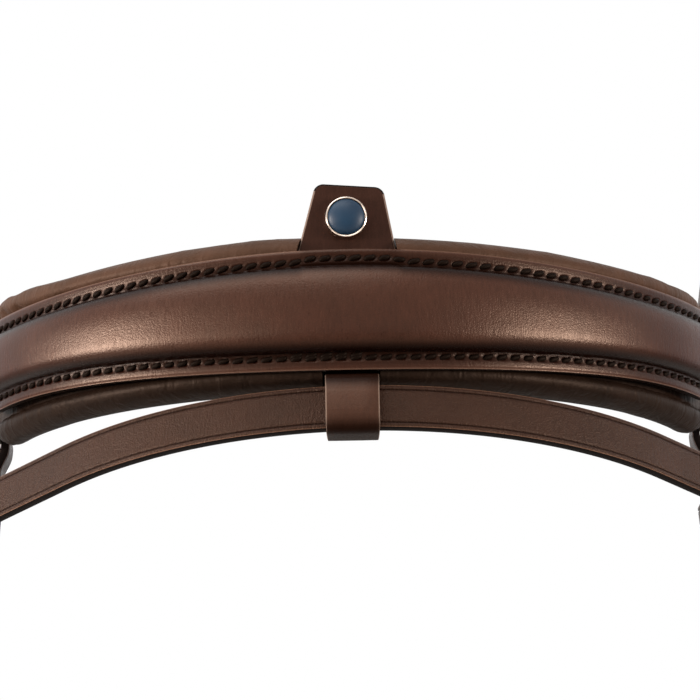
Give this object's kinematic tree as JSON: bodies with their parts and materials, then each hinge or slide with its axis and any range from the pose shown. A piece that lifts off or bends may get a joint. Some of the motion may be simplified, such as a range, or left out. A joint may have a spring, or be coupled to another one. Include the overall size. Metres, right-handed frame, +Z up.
{
  "type": "bridle noseband",
  "caption": "Padded raised leather nosepiece with a press-studded flash attachment, flash strap, ring-hung chin strap and hangers with roller buckles.",
  "frame": {"origin": "the middle of the flat patch on the padding, where the noseband rests on the bridge of the nose", "axes": "+Z up along the horse's face towards the eyes, +Y from the front leather towards the horse, +X towards the buckle side of the flash and chin straps"},
  "size_m": [0.3047, 0.1391, 0.335],
  "materials": {
    "nose_leather": "raised bridle leather, semi-gloss",
    "backing_leather": "flat bridle leather",
    "filler_cork": "shaped cork core",
    "padding_nappa": "soft nappa over foam",
    "attachment_leather": "bridle leather with pale cut edges",
    "strap_leather": "creased bridle leather",
    "hardware_steel": "polished stainless steel",
    "stud_glass": "dark blue domed stone, polished"
  },
  "bodies": {
    "nosepiece": {"nose_padding": "padding_nappa", "nose_backing": "backing_leather", "nose_filler": "filler_cork", "nose_leather": "nose_leather", "flash_loop": "attachment_leather", "stud_ball": "hardware_steel"},
    "tab": {"tab_front": "attachment_leather", "stud_bezel": "hardware_steel", "stud_glass": "stud_glass", "stud_socket": "hardware_steel"},
    "ring_left": {"ring_left": "hardware_steel"},
    "ring_right": {"ring_right": "hardware_steel"},
    "flash": {"flash_strap": "strap_leather", "flash_buckle": "hardware_steel", "flash_keeper": "strap_leather"},
    "flash_prong": {"flash_prong": "hardware_steel"},
    "flash_roller": {"flash_roller": "hardware_steel"},
    "flash_runner": {"flash_runner": "strap_leather"},
    "chin": {"chin_buckle_strap": "strap_leather", "chin_billet": "strap_leather", "chin_buckle": "hardware_steel", "chin_keeper": "strap_leather"},
    "chin_prong": {"chin_prong": "hardware_steel"},
    "chin_roller": {"chin_roller": "hardware_steel"},
    "chin_runner": {"chin_runner": "strap_leather"},
    "hanger_left": {"hanger_left_strap": "strap_leather", "hanger_left_buckle": "hardware_steel", "hanger_left_keeper": "strap_leather"},
    "hanger_left_prong": {"hanger_left_prong": "hardware_steel"},
    "hanger_left_roller": {"hanger_left_roller": "hardware_steel"},
    "hanger_left_runner": {"hanger_left_runner": "strap_leather"},
    "hanger_right": {"hanger_right_strap": "strap_leather", "hanger_right_buckle": "hardware_steel", "hanger_right_keeper": "strap_leather"},
    "hanger_right_prong": {"hanger_right_prong": "hardware_steel"},
    "hanger_right_roller": {"hanger_right_roller": "hardware_steel"},
    "hanger_right_runner": {"hanger_right_runner": "strap_leather"}
  },
  "joints": [
    {"name": "tab_open", "type": "hinge", "parent": "nosepiece", "child": "tab", "pos_m": [0, -0.01004, 0.0173], "axis": [1, 0, 0], "range_deg": [0, 55]},
    {"name": "ring_left_turn", "type": "hinge", "parent": "nosepiece", "child": "ring_left", "pos_m": [-0.10739, 0.1025, 0], "axis": [1, 0, 0], "continuous": true},
    {"name": "ring_right_turn", "type": "hinge", "parent": "nosepiece", "child": "ring_right", "pos_m": [0.10739, 0.1025, 0], "axis": [1, 0, 0], "continuous": true},
    {"name": "chin_swing", "type": "hinge", "parent": "nosepiece", "child": "chin", "pos_m": [0, 0.1025, 0], "axis": [1, 0, 0], "range_deg": [-10, 90]},
    {"name": "chin_prong_tilt", "type": "hinge", "parent": "chin", "child": "chin_prong", "pos_m": [0.11174, 0.1025, -0.06481], "axis": [0, -1, 0], "range_deg": [0, 3]},
    {"name": "chin_roller_turn", "type": "hinge", "parent": "chin", "child": "chin_roller", "pos_m": [0.11349, 0.1025, -0.08473], "axis": [0, -1, 0], "continuous": true},
    {"name": "chin_runner_slide", "type": "slide", "parent": "chin", "child": "chin_runner", "axis": [0.0872, 0, -0.9962], "range_m": [-0.006, 0.0035]},
    {"name": "flash_shift", "type": "hinge", "parent": "nosepiece", "child": "flash", "pos_m": [0.0035, 0.09841, -0.05526], "axis": [0, 0.2419, 0.9703], "range_deg": [-8, 8]},
    {"name": "flash_prong_swing", "type": "hinge", "parent": "flash", "child": "flash_prong", "pos_m": [0.14466, 0.05445, -0.14555], "axis": [-0.6841, -0.7294, 0.0029], "range_deg": [0, 120]},
    {"name": "flash_roller_turn", "type": "hinge", "parent": "flash", "child": "flash_roller", "pos_m": [0.14671, 0.05246, -0.16231], "axis": [-0.6841, -0.7294, 0.0029], "continuous": true},
    {"name": "flash_runner_slide", "type": "slide", "parent": "flash", "child": "flash_runner", "axis": [0.1206, -0.117, -0.9858], "range_m": [-0.01, 0.006]},
    {"name": "hanger_left_swing", "type": "hinge", "parent": "nosepiece", "child": "hanger_left", "pos_m": [-0.10739, 0.1025, 0], "axis": [1, 0, 0], "range_deg": [-30, 20]},
    {"name": "hanger_left_prong_swing", "type": "hinge", "parent": "hanger_left", "child": "hanger_left_prong", "pos_m": [-0.11959, 0.1025, 0.09204], "axis": [0, -1, 0], "range_deg": [0, 120]},
    {"name": "hanger_left_roller_turn", "type": "hinge", "parent": "hanger_left", "child": "hanger_left_roller", "pos_m": [-0.1224, 0.1025, 0.10982], "axis": [0, -1, 0], "continuous": true},
    {"name": "hanger_left_runner_slide", "type": "slide", "parent": "hanger_left", "child": "hanger_left_runner", "axis": [-0.1564, 0, 0.9877], "range_m": [-0.026, 0.014]},
    {"name": "hanger_right_swing", "type": "hinge", "parent": "nosepiece", "child": "hanger_right", "pos_m": [0.10739, 0.1025, 0], "axis": [1, 0, 0], "range_deg": [-30, 20]},
    {"name": "hanger_right_prong_swing", "type": "hinge", "parent": "hanger_right", "child": "hanger_right_prong", "pos_m": [0.11959, 0.1025, 0.09204], "axis": [0, 1, 0], "range_deg": [0, 120]},
    {"name": "hanger_right_roller_turn", "type": "hinge", "parent": "hanger_right", "child": "hanger_right_roller", "pos_m": [0.1224, 0.1025, 0.10982], "axis": [0, 1, 0], "continuous": true},
    {"name": "hanger_right_runner_slide", "type": "slide", "parent": "hanger_right", "child": "hanger_right_runner", "axis": [0.1564, 0, 0.9877], "range_m": [-0.026, 0.014]}
  ]
}
